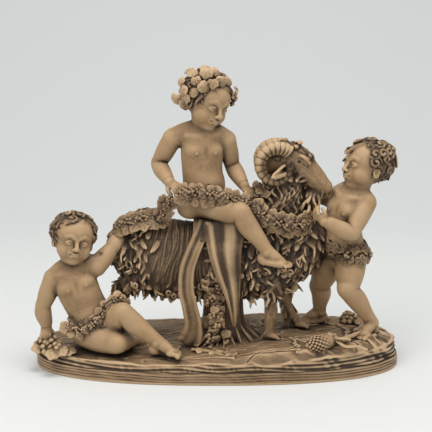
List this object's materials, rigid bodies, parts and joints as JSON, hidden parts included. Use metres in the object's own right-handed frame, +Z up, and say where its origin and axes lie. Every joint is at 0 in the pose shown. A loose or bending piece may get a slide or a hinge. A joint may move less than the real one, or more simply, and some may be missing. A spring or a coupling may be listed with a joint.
{
  "type": "terracotta figure group",
  "caption": "Fired-clay table sculpture: putti with vine garlands around a standing ram, modelled in one piece with its oval rocky base.",
  "frame": {"origin": "middle of the oval base's flat underside", "axes": "+X along the base towards the ram's head, +Y from the viewed front to the back, +Z up"},
  "size_m": [0.52, 0.224, 0.4241],
  "materials": {
    "terracotta": "unglazed fired clay, warm light brown, with a darker brown wash left in the carving"
  },
  "bodies": {
    "root": {"terracotta_group": "terracotta"}
  },
  "joints": []
}
